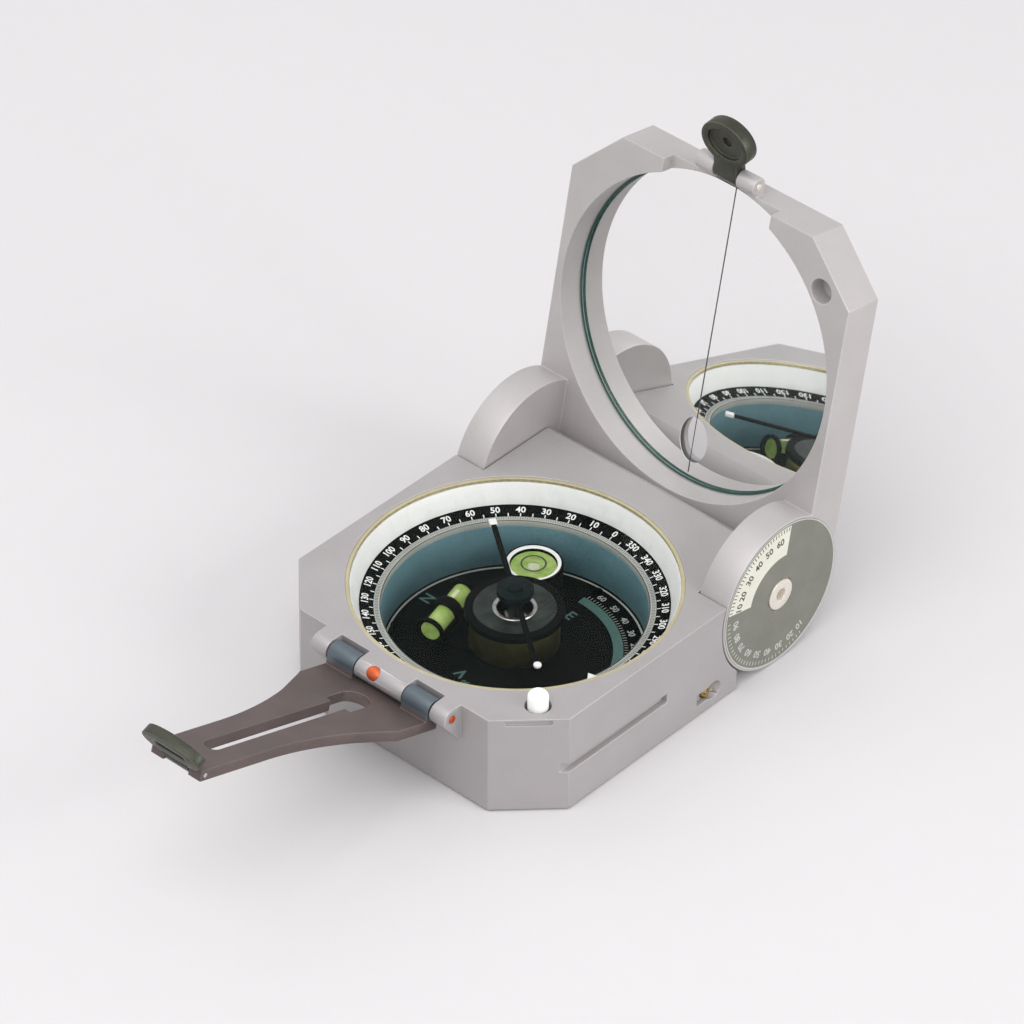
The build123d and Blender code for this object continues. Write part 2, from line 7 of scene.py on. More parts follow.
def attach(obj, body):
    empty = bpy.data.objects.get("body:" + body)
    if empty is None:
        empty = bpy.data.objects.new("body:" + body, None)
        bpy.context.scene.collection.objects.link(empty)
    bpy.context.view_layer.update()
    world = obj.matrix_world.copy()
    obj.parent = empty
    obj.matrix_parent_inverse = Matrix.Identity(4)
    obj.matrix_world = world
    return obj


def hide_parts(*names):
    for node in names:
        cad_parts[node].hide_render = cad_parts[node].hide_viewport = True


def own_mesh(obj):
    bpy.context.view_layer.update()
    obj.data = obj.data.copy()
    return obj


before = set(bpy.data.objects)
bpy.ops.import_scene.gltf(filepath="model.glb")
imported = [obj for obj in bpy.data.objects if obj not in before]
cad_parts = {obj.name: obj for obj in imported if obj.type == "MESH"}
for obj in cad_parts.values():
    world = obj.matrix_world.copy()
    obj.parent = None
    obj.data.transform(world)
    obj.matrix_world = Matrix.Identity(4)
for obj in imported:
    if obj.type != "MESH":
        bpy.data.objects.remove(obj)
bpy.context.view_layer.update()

# A pocket transit: aluminium case with a needle compass and two spirit levels,
# a mirror lid on two ears, and two folding sights. Blender works in metres; the
# sizes below are in millimetres and go through MM. Angles are in degrees.
MM = 0.001

LID_HINGE = (37.65, 16.9)          # y and z of the lid's axis
LID_OPEN = 100.7                   # how far the lid stands open at rest
SIGHT_HINGE = (-37.0, 20.6)        # y and z of the long sight's axis
BARREL_R = 2.3                     # hinge barrel of the long sight
PLATE_TOP = 5.7                    # dial plate
ARM_TOP = 7.2                      # vernier arm
CARD_IN, CARD_OUT = 27.5, 30.3     # graduated card, a shallow cone
CARD_LOW, CARD_HIGH = 17.0, 17.6
CARD_TILT = 12.1
FACE_X = 35.5                      # scale disc's face on the right ear
ROUND_LEVEL = (-9.0, 15.4)         # x and y of its axis
LIFT_PIN = (28.3, -24.7)           # x and y of its axis
MIRROR_Y = -0.75                   # mirror's centre with the lid shut

PRINT = 0.03                       # thickness of printed marks
EDGE_ANGLE = 35                    # edges sharper than this are rounded
BROAD_FACE = 60                    # square mm; larger flat faces keep their own shading
HAIR = 0.02                        # gap that parts two faces the CAD has in one place
FORWARD = 1.3                      # how far the silver layer is brought up behind the glass's face
BEHIND = 0.48                      # how far the sight line lies behind the glass's face

LENS = 243.8
CAMERA_AT = (0.6966, -0.7784, 0.8675)
CAMERA_RIGHT = (0.7398, 0.6729, 0.0093)
CAMERA_UP = (-0.4234, 0.4545, 0.7838)
CAMERA_BACK = (0.5231, -0.5837, 0.6210)


# ---- making things by hand -------------------------------------------------------
def nothing_selected():
    if bpy.context.object and bpy.context.object.mode != "OBJECT":
        bpy.ops.object.mode_set(mode="OBJECT")
    bpy.ops.object.select_all(action="DESELECT")


def take(piece):
    """Select one object alone."""
    nothing_selected()
    piece.select_set(True)
    bpy.context.view_layer.objects.active = piece


def fresh(name):
    """Name the primitive that was just added."""
    piece = bpy.context.object
    piece.name = name
    piece.data.name = name
    return piece


def put(piece, matrix):
    """Settle a piece's place into its mesh, so that its object stays at the origin."""
    piece.data.transform(matrix @ piece.matrix_world)
    piece.matrix_world = Matrix.Identity(4)
    return piece


def tidy_mesh(piece):
    """Merge doubles, point the faces outwards and shade by angle."""
    take(piece)
    bpy.ops.object.mode_set(mode="EDIT")
    bpy.ops.mesh.select_all(action="SELECT")
    bpy.ops.mesh.remove_doubles(threshold=1e-6)
    bpy.ops.mesh.normals_make_consistent(inside=False)
    bpy.ops.object.mode_set(mode="OBJECT")
    bpy.ops.object.shade_smooth_by_angle(angle=radians(30))


def round_edges(piece, width):
    """Applied bevel on the sharp edges; the width is in millimetres."""
    take(piece)
    bevel = piece.modifiers.new("edge", "BEVEL")
    bevel.width = width * MM
    bevel.segments = 2
    bevel.limit_method = "ANGLE"
    bevel.angle_limit = radians(EDGE_ANGLE)
    bevel.use_clamp_overlap = False
    bpy.ops.object.modifier_apply(modifier=bevel.name)
    bpy.ops.object.shade_smooth_by_angle(angle=radians(25))
    # a broad flat face keeps its own shading, right up to its rounded edges
    broad = [face for face in piece.data.polygons if face.area > BROAD_FACE * MM * MM]
    borders = {key for face in broad for key in face.edge_keys}
    for border in piece.data.edges:
        if border.key in borders:
            border.use_edge_sharp = True


def joined(pieces, name):
    nothing_selected()
    for piece in pieces:
        piece.select_set(True)
    bpy.context.view_layer.objects.active = pieces[0]
    bpy.ops.object.join()
    return fresh(name)


def repeated(model, places, name):
    """Copies of a modelled piece at each place, made one object."""
    copies = []
    for place in places:
        twin = bpy.data.objects.new(name, model.data.copy())
        bpy.context.scene.collection.objects.link(twin)
        twin.data.transform(place)
        copies.append(twin)
    bpy.data.objects.remove(model)
    return joined(copies, name)


def dressed(piece, body, finish, slot, *stands_for):
    """Give a finished piece its material, its body and the CAD nodes that it replaces."""
    piece.data.materials.clear()
    piece.data.materials.append(finish)
    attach(piece, body)
    if stands_for:
        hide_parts(*stands_for)
    return piece


# ---- places ------------------------------------------------------------------------
def about(y, z, angle):
    """Turn about an axis along X through y, z."""
    there = Matrix.Translation((0, y * MM, z * MM))
    return there @ Matrix.Rotation(radians(angle), 4, "X") @ there.inverted()


OPEN = about(*LID_HINGE, -LID_OPEN)      # closed lid to open lid


def on_dial(radius, angle, height, tilt=0.0):
    """Place on the dial: local Y points outwards, `angle` is from +X."""
    spin = Matrix.Rotation(radians(angle - 90), 4, "Z")
    out = Matrix.Translation((0, radius * MM, height * MM))
    return spin @ out @ Matrix.Rotation(radians(tilt), 4, "X")


def on_scale(radius, angle, proud=0.0):
    """Place on the scale disc: local Y points outwards, `angle` is from +Y towards +Z."""
    stand = Matrix(((0, 0, 1, 0), (1, 0, 0, 0), (0, 1, 0, 0), (0, 0, 0, 1)))
    hub = Matrix.Translation(((FACE_X + proud) * MM, LID_HINGE[0] * MM, LID_HINGE[1] * MM))
    spin = Matrix.Rotation(radians(angle - 90), 4, "Z")
    return hub @ stand @ spin @ Matrix.Translation((0, radius * MM, 0))


# ---- finishes ------------------------------------------------------------------------
def linear(code):
    """sRGB hex to linear colour."""
    parts = [int(code[i:i + 2], 16) / 255 for i in (1, 3, 5)]
    return [c / 12.92 if c <= 0.04045 else ((c + 0.055) / 1.055) ** 2.4 for c in parts] + [1.0]


def add(tree, kind, sockets=None, **settings):
    """Add a node with its settings; a socket given as a value is linked."""
    node = tree.nodes.new(kind)
    for key, value in settings.items():
        setattr(node, key, value)
    for key, value in (sockets or {}).items():
        if isinstance(value, bpy.types.NodeSocket):
            tree.links.new(value, node.inputs[key])
        else:
            node.inputs[key].default_value = value
    return node


def new_finish(name, **values):
    """New material, with its node tree, its shader, whose constants are set, and its Object
    coordinates."""
    material = bpy.data.materials.new(name)
    material.use_nodes = True
    tree = material.node_tree
    shader = tree.nodes["Principled BSDF"]
    for key, value in values.items():
        shader.inputs[key.replace("_", " ")].default_value = value
    place = add(tree, "ShaderNodeTexCoord").outputs["Object"]
    return material, tree, shader, place


def grained(tree, shader, place, shades, rough, grain, relief, patch, spread=0.08, stretch=(1, 1, 1)):
    """Colour that drifts between two shades over `patch` mm, and a grain of `grain` mm
    that unevens the gloss and stands `relief` mm high. Returns the colour socket."""
    laid = add(tree, "ShaderNodeMapping", {"Vector": place, "Scale": stretch}).outputs["Vector"]
    drift = add(tree, "ShaderNodeTexNoise", {"Vector": place, "Scale": 1 / (patch * MM), "Detail": 3.0})
    fine = add(tree, "ShaderNodeTexNoise", {"Vector": laid, "Scale": 1 / (grain * MM), "Detail": 2.0})
    both = add(tree, "ShaderNodeMath", {0: drift.outputs["Fac"], 1: fine.outputs["Fac"]}, operation="ADD")
    even = add(tree, "ShaderNodeMapRange", {"Value": both.outputs[0], "From Min": 0.7, "From Max": 1.3})
    tint = add(tree, "ShaderNodeMix", {0: even.outputs[0], 6: linear(shades[0]), 7: linear(shades[1])},
               data_type="RGBA")
    gloss = add(tree, "ShaderNodeMapRange", {
        "Value": fine.outputs["Fac"], "From Min": 0.3, "From Max": 0.7,
        "To Min": max(rough - spread, 0.02), "To Max": min(rough + spread, 1.0)})
    tree.links.new(tint.outputs[2], shader.inputs["Base Color"])
    tree.links.new(gloss.outputs[0], shader.inputs["Roughness"])
    if relief:
        bump = add(tree, "ShaderNodeBump", {
            "Height": fine.outputs["Fac"], "Distance": relief * MM, "Strength": 0.6})
        tree.links.new(bump.outputs["Normal"], shader.inputs["Normal"])
    return tint.outputs[2]


def worn_edges(tree, shader, colour, bright, amount=0.6):
    """Lighter metal within 0.3 mm of an edge, where it is rubbed."""
    plain = add(tree, "ShaderNodeNewGeometry").outputs["Normal"]
    rounded = add(tree, "ShaderNodeBevel", {"Radius": 0.3 * MM}, samples=4).outputs["Normal"]
    agree = add(tree, "ShaderNodeVectorMath", {0: plain, 1: rounded}, operation="DOT_PRODUCT")
    wear = add(tree, "ShaderNodeMapRange", {
        "Value": agree.outputs["Value"], "From Min": 0.99, "From Max": 0.85, "To Min": 0.0, "To Max": amount})
    mix = add(tree, "ShaderNodeMix", {0: wear.outputs[0], 6: colour, 7: linear(bright)}, data_type="RGBA")
    tree.links.new(mix.outputs[2], shader.inputs["Base Color"])


def blasted_aluminium(name, shades):
    """Bead-blasted, clear-anodised aluminium: an even silvery grey with a fine satin grain."""
    material, tree, shader, place = new_finish(name, Metallic=0.35)
    colour = grained(tree, shader, place, shades, 0.5, 0.28, 0.006, patch=14)
    worn_edges(tree, shader, colour, "#D2CFD0")
    return material


def sight_finish():
    """Hard-anodised small sights: dark olive, slightly stained, lighter where edges are rubbed."""
    material, tree, shader, place = new_finish("olive anodised sight", Metallic=0.4)
    colour = grained(tree, shader, place, ("#2E3027", "#424336"), 0.42, 0.35, 0.005, patch=5, spread=0.1)
    worn_edges(tree, shader, colour, "#8B8B78")
    return material


def arm_finish():
    """Hard-anodised arm, brownish grey on its plate and blue-grey on its hinge barrel."""
    material, tree, shader, place = new_finish("hard anodised arm", Metallic=0.4)
    colour = grained(tree, shader, place, ("#544B49", "#665956"), 0.46, 0.35, 0.005, patch=9, spread=0.1)
    # distance from the hinge axis, which runs along X
    y, z = SIGHT_HINGE
    centred = add(tree, "ShaderNodeMapping", {
        "Vector": place, "Location": (0, -y * MM, -z * MM), "Scale": (0, 1, 1)})
    reach = add(tree, "ShaderNodeVectorMath", {0: centred.outputs[0]}, operation="LENGTH")
    barrel = add(tree, "ShaderNodeMapRange", {
        "Value": reach.outputs["Value"], "From Min": BARREL_R * MM, "From Max": (BARREL_R + 0.4) * MM,
        "To Min": 1.0, "To Max": 0.0})
    mix = add(tree, "ShaderNodeMix", {0: barrel.outputs[0], 6: colour, 7: linear("#5A646B")},
              data_type="RGBA")
    worn_edges(tree, shader, mix.outputs[2], "#94898A", amount=0.5)
    return material


def turned_metal(name, shades, rough, metallic=1.0):
    """Turned or drawn metal with a faint streaky grain."""
    material, tree, shader, place = new_finish(name, Metallic=metallic)
    grained(tree, shader, place, shades, rough, 0.25, 0.002, patch=3, spread=0.07, stretch=(1, 1, 5))
    return material


def brushed_steel():
    """Brushed lid of the damping cup: straight fine lines one way."""
    material, tree, shader, place = new_finish("brushed steel", Metallic=0.6)
    grained(tree, shader, place, ("#171D1A", "#454E48"), 0.42, 0.7, 0.006, patch=2.0, spread=0.1,
            stretch=(3.0, 0.25, 1.0))
    return material


def enamel(name, shades, rough, grain=0.5, relief=0.002, coat=0.0, gleam=0.4):
    """Baked enamel or silk-screened paint: nearly even, with a slight orange peel."""
    material, tree, shader, place = new_finish(
        name, Coat_Weight=coat, Coat_Roughness=0.15, Specular_IOR_Level=gleam)
    grained(tree, shader, place, shades, rough, grain, relief, patch=6, spread=0.05)
    return material


def clear_glass(name, tint, alpha):
    """Polished float glass: nearly all the light goes straight through, and only its gloss
    and a trace of green are left to see."""
    material, tree, shader, place = new_finish(name, IOR=1.5, Alpha=alpha)
    grained(tree, shader, place, tint, 0.02, 3.0, 0, patch=20, spread=0.01)
    return material


def silvering():
    """Silver layer behind the mirror's glass: a clean reflection."""
    material, tree, shader, place = new_finish("silvering", Metallic=1.0)
    grained(tree, shader, place, ("#FDFEFD", "#FFFFFF"), 0.02, 4.0, 0, patch=18, spread=0.0)
    return material


def glowing_fluid():
    """Green level fluid: bright lime, with a faint painted glow of its own colour standing in for the light
    scattered inside it.
    """
    material, tree, shader, place = new_finish(
        "level fluid", IOR=1.36, Transmission_Weight=0.1, Emission_Strength=0.2)
    colour = grained(tree, shader, place, ("#A3CB58", "#D0E691"), 0.12, 1.4, 0.001, patch=2.2, spread=0.04)
    # painted glow: the fluid emits its own colour, though it is no lamp
    tree.links.new(colour, shader.inputs["Emission Color"])
    return material


def rubber():
    """Pale grey silicone bed of the mirror: matt with a fine moulded grain."""
    material, tree, shader, place = new_finish("grey silicone", IOR=1.42)
    grained(tree, shader, place, ("#98A39F", "#A9B3AE"), 0.7, 0.3, 0.01, patch=4)
    return material


FINISH = {
    "case_aluminium": blasted_aluminium("blasted aluminium", ("#A19D9D", "#ABA7A7")),
    "sight_metal": arm_finish(),
    "sight_dark": sight_finish(),
    "steel": turned_metal("bright steel", ("#B9B9B6", "#CFCDC8"), 0.3),
    "brass": turned_metal("cast brass", ("#B49A5C", "#CDB878"), 0.34),
    "copper": turned_metal("copper", ("#C2532F", "#DB6F48"), 0.38, metallic=0.7),
    "clear_glass": clear_glass("float glass", ("#101B17", "#16231E"), 0.08),
    "mirror_glass": clear_glass("mirror glass", ("#17332B", "#1E4035"), 0.04),
    "silvering": silvering(),
    "black_enamel": enamel("black enamel", ("#050606", "#0C0E0E"), 0.55, gleam=0.04),
    "white_enamel": enamel("white enamel", ("#F4F6F2", "#FBFCF9"), 0.45),
    "teal_enamel": enamel("teal enamel", ("#4A6C65", "#577C74"), 0.45),
    "pale_tick": enamel("pale grey enamel", ("#A9ADA6", "#BDC0B9"), 0.45),
    "green_fluid": glowing_fluid(),
    "bubble": enamel("air bubble", ("#E6F2B8", "#F2F9D2"), 0.08, relief=0.0005, coat=0.6),
    "scale_label": enamel("olive grey label", ("#6E6E65", "#79796F"), 0.5, grain=0.4),
    "rubber": rubber(),
}
WALL = enamel("teal liner", ("#5C7F87", "#6A9199"), 0.5, gleam=0.2)
GASKET = turned_metal("aged brass ring", ("#B3AA88", "#C6BE9E"), 0.45, metallic=0.5)
# painted light: the lid is the case's own aluminium, given a lighter colour for the light that falls more
# fully on its faces
LID_ALUMINIUM_PAINTED_LIGHTER = blasted_aluminium("blasted aluminium of the lid, painted lighter", ("#B0ACAB", "#BBB7B6"))
LINE = enamel("etched line", ("#4A4C4B", "#5C5F5D"), 0.5, grain=0.3)
CREAM = enamel("cream print", ("#CDCDBE", "#D7D7CA"), 0.5, grain=0.3)
DARK_PRINT = enamel("dark print", ("#3B3D39", "#4A4C47"), 0.55, grain=0.3)
HUB = enamel("blue-black needle hub", ("#081112", "#0F1D1D"), 0.4, gleam=0.08)
GREEN_EDGE = enamel("ground glass edge", ("#16403A", "#2A5C52"), 0.35, coat=0.3)
BRUSHED = brushed_steel()
NICKEL = turned_metal("bright nickel", ("#D6CFC4", "#E8E2D8"), 0.3, metallic=0.5)


# ---- studio ---------------------------------------------------------------------------
def studio():
    """Camera, pale surroundings and three soft lights."""
    scene = bpy.context.scene
    scene.view_settings.view_transform = "Standard"
    data = bpy.data.cameras.new("camera")
    data.lens = LENS
    data.sensor_width = 36.0
    data.clip_end = 20
    camera = bpy.data.objects.new("camera", data)
    scene.collection.objects.link(camera)
    turn = Matrix((CAMERA_RIGHT, CAMERA_UP, CAMERA_BACK)).transposed().to_4x4()
    camera.matrix_world = Matrix.Translation(CAMERA_AT) @ turn
    scene.camera = camera

    world = bpy.data.worlds.new("pale studio")
    world.use_nodes = True
    sky = world.node_tree.nodes["Background"]
    sky.inputs["Color"].default_value = linear("#F3F2F4")
    sky.inputs["Strength"].default_value = 0.88
    scene.world = world

    for name, place, size, power in (
        ("overhead softbox", (0.15, -0.6, 1.1), 1.0, 8.0),
        ("left softbox", (-0.9, -0.1, 0.9), 0.9, 2.2),
        ("right softbox", (1.1, 0.2, 0.55), 0.7, 7.2),
    ):
        lamp = bpy.data.lights.new(name, "AREA")
        lamp.size = size
        lamp.energy = power
        holder = bpy.data.objects.new(name, lamp)
        holder.location = place
        aim = Vector((0, 0, 0.02)) - Vector(place)
        holder.rotation_euler = aim.to_track_quat("-Z", "Y").to_euler()
        scene.collection.objects.link(holder)


def floor():
    """A wide floor of pale matt paper."""
    nothing_selected()
    bpy.ops.mesh.primitive_plane_add(size=8.0, location=(0, 0, 0))
    plain = fresh("floor")
    material, tree, shader, place = new_finish("matt paper floor", Specular_IOR_Level=0.1)
    grained(tree, shader, place, ("#CFCDCE", "#D0CECF"), 0.9, 6.0, 0.0, patch=900)
    plain.data.materials.append(material)


# ---- the CAD nodes, with softened edges or a finish of their own -----------------------
def softened(node, body, slot, edge=0, finish=None):
    """A copy of a CAD node with its loose triangles merged and its sharp edges rounded
    by `edge` mm."""
    piece = bpy.data.objects.new(f"{node}_finished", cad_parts[node].data.copy())
    bpy.context.scene.collection.objects.link(piece)
    take(piece)
    bpy.ops.mesh.customdata_custom_splitnormals_clear()
    bpy.ops.object.mode_set(mode="EDIT")
    bpy.ops.mesh.select_all(action="SELECT")
    bpy.ops.mesh.remove_doubles(threshold=2e-6)
    bpy.ops.mesh.dissolve_limited(angle_limit=radians(0.6))
    bpy.ops.object.mode_set(mode="OBJECT")
    if edge:
        round_edges(piece, edge)
    else:
        bpy.ops.object.shade_smooth_by_angle(angle=radians(32))
    return dressed(piece, body, finish or FINISH[slot], slot, node)


SOFTENED = (
    # node, body, slot, edge in mm, finish
    ("case_body", "case", "case_aluminium", 0.16, None),
    ("glass_gasket", "case", "brass", 0.12, GASKET),
    ("cover_glass", "case", "clear_glass", 0.1, None),
    ("white_ring", "case", "white_enamel", 0.05, None),
    ("index_tab", "case", "white_enamel", 0.06, None),
    ("dial_plate", "case", "black_enamel", 0.05, None),
    ("dial_posts", "case", "black_enamel", 0.08, None),
    ("round_level_housing", "case", "black_enamel", 0.15, None),
    ("round_level_bubble", "case", "bubble", 0.2, None),
    ("hinge_screw_left", "case", "steel", 0.12, NICKEL),
    ("hinge_screw_right", "case", "steel", 0.12, NICKEL),
    ("long_sight_pin", "case", "copper", 0.15, None),
    ("friction_plug", "case", "copper", 0.1, None),
    ("lid_frame", "lid", "case_aluminium", 0.16, LID_ALUMINIUM_PAINTED_LIGHTER),
    ("scale_disc", "lid", "scale_label", 0.05, None),
    ("plain_disc", "lid", "scale_label", 0.05, None),
    ("lid_sight_pin", "lid", "steel", 0.1, NICKEL),
    ("lid_sight", "lid_sight", "sight_dark", 0.3, None),
    ("long_sight_arm", "long_sight", "sight_metal", 0.16, None),
    ("peep_pin", "long_sight", "steel", 0.08, None),
    ("peep_sight", "peep", "sight_dark", 0.25, None),
    ("needle_bar", "needle", "black_enamel", 0.08, None),
    ("needle_north_tip", "needle", "white_enamel", 0.1, None),
    ("needle_counterweight", "needle", "white_enamel", 0.25, None),
    ("needle_hub", "needle", "black_enamel", 0.15, HUB),
    ("vernier_arm", "clinometer", "black_enamel", 0.08, None),
    ("damping_cup", "clinometer", "brass", 0.12, None),
    ("damping_rim", "clinometer", "black_enamel", 0.2, None),
    ("damping_lid", "clinometer", "steel", 0.05, BRUSHED),
    ("clinometer_lever", "clinometer", "steel", 0.12, None),
    ("long_level_holder", "clinometer", "black_enamel", 0.12, None),
    ("azimuth_card", "azimuth_ring", "black_enamel", 0.05, None),
    ("tick_ring", "azimuth_ring", "pale_tick", 0.05, None),
    ("well_liner", "azimuth_ring", "teal_enamel", 0.1, WALL),
    ("declination_screw", "declination", "brass", 0.1, None),
    ("lift_pin", "lift_pin", "white_enamel", 0.35, None),
)

KEPT = {
    # CAD nodes that stay, with the finish that they get
    "brass": ("clinometer_spindle", "lift_spring_seat", "crown_gear"),
    "steel": ("hinge_washer_left", "hinge_washer_right", "lift_axle", "lift_bracket", "lift_lever",
              "needle_magnet", "needle_pivot", "declination_pinion"),
    "clear_glass": ("round_level_vial", "long_level_vial"),
    "rubber": ("mirror_cushion",),
}


def cad_nodes():
    """Finish every CAD node: softened copies of most, and a material for the rest."""
    for node, body, slot, edge, finish in SOFTENED:
        softened(node, body, slot, edge, finish)
    # silver and sight line lie close behind the glass's face, so that edge and line show once
    silver = softened("mirror_silvering", "lid", "silvering")
    put(silver, OPEN @ Matrix.Translation((0, 0, -FORWARD * MM)) @ OPEN.inverted())
    line = softened("sight_line", "lid", "black_enamel", finish=LINE)
    thin = Matrix.Scale(0.55, 4, (1, 0, 0))
    put(line, OPEN @ Matrix.Translation((0, 0, BEHIND * MM)) @ thin @ OPEN.inverted())
    # the long level's bubble stands up to its glass
    bubble = softened("long_level_bubble", "clinometer", "bubble", 0.3)
    put(bubble, Matrix.Translation((0, 0, 0.25 * MM)))
    # the mirror's glass lies a hair inside its cushion, and each fluid a hair inside its vial
    for node, body, slot in (
        ("mirror_glass", "lid", "mirror_glass"),
        ("round_level_fluid", "case", "green_fluid"),
        ("long_level_fluid", "clinometer", "green_fluid"),
    ):
        take(softened(node, body, slot))
        bpy.ops.object.mode_set(mode="EDIT")
        bpy.ops.mesh.select_all(action="SELECT")
        bpy.ops.mesh.normals_make_consistent(inside=False)
        bpy.ops.transform.shrink_fatten(value=-HAIR * MM)
        bpy.ops.object.mode_set(mode="OBJECT")
    for slot, nodes in KEPT.items():
        for node in nodes:
            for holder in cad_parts[node].material_slots:
                holder.material = FINISH[slot]


# ---- printed marks ----------------------------------------------------------------------
def stroke(length, width):
    """One printed stroke along local Y, centred: a thin slab whose top is slightly smaller."""
    nothing_selected()
    bpy.ops.mesh.primitive_plane_add(size=MM)
    piece = fresh("stroke")
    bpy.ops.object.mode_set(mode="EDIT")
    bpy.ops.transform.resize(value=(width, length, 1))
    bpy.ops.mesh.extrude_region_move(TRANSFORM_OT_translate={"value": (0, 0, PRINT * MM)})
    bpy.ops.transform.resize(value=(0.86, 0.96, 1))
    bpy.ops.object.mode_set(mode="OBJECT")
    tidy_mesh(piece)
    return piece


def numeral(words, size):
    """A printed numeral lying flat, centred, as a thin mesh."""
    nothing_selected()
    bpy.ops.object.text_add()
    text = bpy.context.object
    text.data.body = words
    text.data.size = size * MM
    text.data.align_x = "CENTER"
    text.data.align_y = "CENTER"
    text.data.extrude = PRINT * MM / 2
    text.data.resolution_u = 3
    text.data.offset = size * 0.02 * MM
    bpy.ops.object.convert(target="MESH")
    return fresh("numeral")


def numerals(marks, size, name):
    """Numerals at their places, made one object; marks are (words, place)."""
    pieces = []
    for words, place in marks:
        pieces.append(put(numeral(words, size), place))
    return joined(pieces, name)


def sector(inner, outer, start, end, name, steps=40):
    """A flat printed ring sector about the origin, from an edge spun round and given thickness."""
    nothing_selected()
    bpy.ops.mesh.primitive_plane_add(size=MM)
    piece = fresh(name)
    bpy.ops.object.mode_set(mode="EDIT")
    bpy.ops.mesh.select_all(action="SELECT")
    bpy.ops.transform.resize(value=(outer - inner, 0.001, 1))
    bpy.ops.transform.translate(value=((outer + inner) / 2 * MM, 0, 0))
    bpy.ops.mesh.remove_doubles(threshold=1e-5)
    bpy.ops.mesh.select_all(action="SELECT")
    turn = Matrix.Rotation(radians(start), 4, "Z")
    bpy.ops.object.mode_set(mode="OBJECT")
    piece.data.transform(turn)
    bpy.ops.object.mode_set(mode="EDIT")
    bpy.ops.mesh.select_all(action="SELECT")
    # spin turns clockwise for a positive angle
    bpy.ops.mesh.spin(steps=steps, angle=radians(start - end), center=(0, 0, 0), axis=(0, 0, 1))
    bpy.ops.mesh.select_all(action="SELECT")
    bpy.ops.mesh.remove_doubles(threshold=1e-7)
    bpy.ops.mesh.select_all(action="SELECT")
    bpy.ops.mesh.extrude_region_move(TRANSFORM_OT_translate={"value": (0, 0, PRINT * MM)})
    bpy.ops.object.mode_set(mode="OBJECT")
    tidy_mesh(piece)
    return piece


def on_card(radius, angle):
    """Place on the graduated card's cone."""
    height = CARD_LOW + (CARD_HIGH - CARD_LOW) * (radius - CARD_IN) / (CARD_OUT - CARD_IN)
    return on_dial(radius, angle, height, CARD_TILT)


def azimuth_marks():
    """Numerals every ten degrees, strokes every five, and single degrees on the inner lip."""
    white = FINISH["white_enamel"]
    tens = numerals([(str(a), on_card(29.15, 90 + a)) for a in range(0, 360, 10)], 2.0, "card_numerals")
    dressed(tens, "azimuth_ring", white, "white_enamel")
    fives = repeated(stroke(0.8, 0.2), [on_card(27.95, a) for a in range(0, 360, 5)], "card_strokes")
    dressed(fives, "azimuth_ring", white, "white_enamel")
    ones = repeated(stroke(0.7, 0.11), [on_dial(26.95, a, CARD_LOW) for a in range(0, 360)], "tick_strokes")
    dressed(ones, "azimuth_ring", DARK_PRINT, "black_enamel")
    line = put(sector(26.12, 26.34, 0, 360, "tick_ring_line", 120), on_dial(0, 90, CARD_LOW))
    dressed(line, "azimuth_ring", DARK_PRINT, "black_enamel")


def dial_marks():
    """Slope scale, its numerals, and small generic marks printed on the dial plate."""
    teal, pale = FINISH["teal_enamel"], FINISH["pale_tick"]
    height = Matrix.Translation((0, 0, PLATE_TOP * MM))
    dressed(put(sector(19.3, 21.3, -42, 92, "slope_band", 60), height), "case", teal, "teal_enamel")
    slopes = [(str(abs(d)), on_dial(23.4, 25 + d, PLATE_TOP)) for d in range(60, -70, -10)]
    dressed(numerals(slopes, 1.9, "slope_numerals"), "case", pale, "pale_tick")
    strokes = [on_dial(21.85, a, PLATE_TOP) for a in range(-40, 92, 2)]
    dressed(repeated(stroke(0.8, 0.13), strokes, "slope_strokes"), "case", pale, "pale_tick")
    letters = [("N", on_dial(23.0, 180, PLATE_TOP)), ("E", on_dial(15.1, 86, PLATE_TOP)),
               ("W", on_dial(12.6, -98, PLATE_TOP))]
    dressed(numerals(letters, 3.6, "cardinal_letters"), "case", teal, "teal_enamel")
    rim = put(sector(25.35, 25.75, 0, 360, "plate_edge_line", 144), height)
    dressed(rim, "case", pale, "pale_tick")


def vernier_marks():
    """Zero and divisions on the arm that reads the slope scale."""
    teal = FINISH["teal_enamel"]
    places = [on_dial(17.6, a, ARM_TOP) for a in range(-86, -44, 3)]
    dressed(repeated(stroke(1.2, 0.16), places, "vernier_strokes"), "clinometer", teal, "teal_enamel")
    marks = [(words, on_dial(15.4, a, ARM_TOP)) for words, a in (("30", -86), ("0", -68), ("30", -50))]
    dressed(numerals(marks, 1.7, "vernier_numerals"), "clinometer", teal, "teal_enamel")


def scale_marks():
    """The right ear's disc: a cream sector, strokes and numerals."""
    pale = FINISH["pale_tick"]
    cream = sector(9.0, 15.7, 80, 168, "cream_sector", 44)
    dressed(put(cream, on_scale(0, 90)), "lid", CREAM, "white_enamel")
    rim = sector(16.0, 16.28, 0, 360, "scale_rim", 120)
    dressed(put(rim, on_scale(0, 90)), "lid", pale, "pale_tick")
    # dark marks lie on the cream print
    strokes = [on_scale(15.1, a, PRINT) for a in range(82, 168, 3)]
    dressed(repeated(stroke(0.9, 0.2), strokes, "cream_strokes"), "lid", DARK_PRINT, "black_enamel")
    marks = [(str(v), on_scale(12.7, a, PRINT)) for v, a in
             ((60, 92), (50, 107), (40, 122), (30, 137), (20, 152), (10, 164))]
    dressed(numerals(marks, 2.2, "cream_numerals"), "lid", DARK_PRINT, "black_enamel")
    # and pale marks on the bare label
    strokes = [on_scale(15.1, a) for a in range(176, 300, 4)]
    dressed(repeated(stroke(0.8, 0.2), strokes, "pale_strokes"), "lid", pale, "pale_tick")
    marks = [(str(v), on_scale(13.0, a)) for v, a in
             ((90, 181), (80, 196), (70, 211), (60, 226), (50, 241), (40, 256), (30, 271), (20, 286),
              (10, 299))]
    dressed(numerals(marks, 2.1, "pale_numerals"), "lid", pale, "pale_tick")


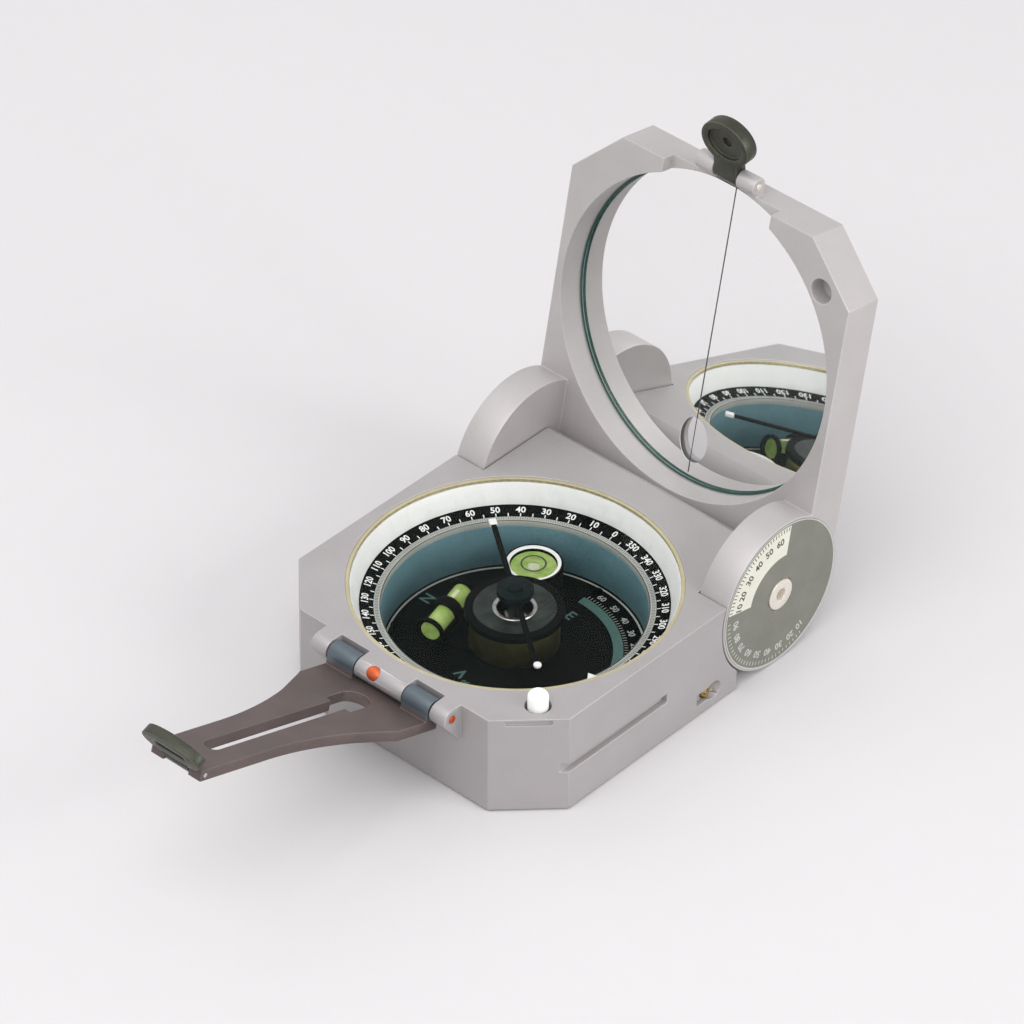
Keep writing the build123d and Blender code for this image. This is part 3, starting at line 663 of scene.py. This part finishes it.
# ---- pieces that the CAD has only in outline ----------------------------------------------
def lathe(points, name, steps=72):
    """A closed turned piece: an outline of (radius, height) points in mm, spun about Z."""
    nothing_selected()
    bpy.ops.mesh.primitive_circle_add(vertices=len(points), radius=MM)
    piece = fresh(name)
    for corner, (r, z) in zip(piece.data.vertices, points):
        corner.co = (r * MM, 0, z * MM)
    bpy.ops.object.mode_set(mode="EDIT")
    bpy.ops.mesh.select_all(action="SELECT")
    bpy.ops.mesh.spin(steps=steps, angle=2 * pi, center=(0, 0, 0), axis=(0, 0, 1))
    bpy.ops.object.mode_set(mode="OBJECT")
    tidy_mesh(piece)
    return piece


def round_level_rings():
    """White printed bezel and the dark circle that the bubble is read against."""
    centre = Matrix.Translation((ROUND_LEVEL[0] * MM, ROUND_LEVEL[1] * MM, 0))
    bezel = lathe([(4.75, 13.2), (5.0, 13.42), (5.45, 13.42), (5.6, 13.3), (5.4, 13.15), (4.8, 13.1)],
                  "round_level_bezel")
    dressed(put(bezel, centre), "case", FINISH["white_enamel"], "white_enamel")
    circle = lathe([(2.25, 13.2), (2.6, 13.2), (2.6, 13.24), (2.25, 13.24)], "round_level_circle", 48)
    dressed(put(circle, centre), "case", DARK_PRINT, "black_enamel")


def lift_coil():
    """Coil spring under the lift pin: one round wire section screwed upwards."""
    wire, mean, low, high, turns = 0.22, 1.75, 8.25, 20.05, 9
    nothing_selected()
    bpy.ops.mesh.primitive_circle_add(vertices=10, radius=wire * MM, fill_type="NGON",
                                      location=(mean * MM, 0, low * MM), rotation=(radians(90), 0, 0))
    coil = fresh("lift_coil")
    bpy.ops.object.transform_apply(location=True, rotation=True, scale=True)
    screw = coil.modifiers.new("coil", "SCREW")
    screw.angle = 2 * pi * turns
    screw.screw_offset = (high - low) * MM
    screw.steps = 24 * turns
    screw.render_steps = 24 * turns
    bpy.ops.object.modifier_apply(modifier=screw.name)
    tidy_mesh(coil)
    put(coil, Matrix.Translation((LIFT_PIN[0] * MM, LIFT_PIN[1] * MM, 0)))
    dressed(coil, "case", FINISH["steel"], "steel", "lift_spring")
    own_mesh(coil)


def cup_lip():
    """Bright turned lip round the hole in the damping cup's lid."""
    lip = lathe([(3.6, 16.38), (3.75, 16.58), (4.25, 16.58), (4.4, 16.4), (4.2, 16.34), (3.7, 16.34)],
                "damping_lid_lip", 64)
    dressed(lip, "clinometer", FINISH["steel"], "steel")


def glass_edge():
    """Ground green edge of the mirror's glass, which shows as a line inside the recess."""
    ring = lathe([(33.2, 28.74), (33.55, 28.7), (33.64, 28.8), (33.64, 29.1), (33.5, 29.1), (33.2, 28.8)],
                 "mirror_glass_edge", 144)
    dressed(put(ring, OPEN @ Matrix.Translation((0, MIRROR_Y * MM, 0))), "lid", GREEN_EDGE, "mirror_glass")


studio()
floor()
cad_nodes()
azimuth_marks()
dial_marks()
vernier_marks()
scale_marks()
round_level_rings()
lift_coil()
cup_lip()
glass_edge()
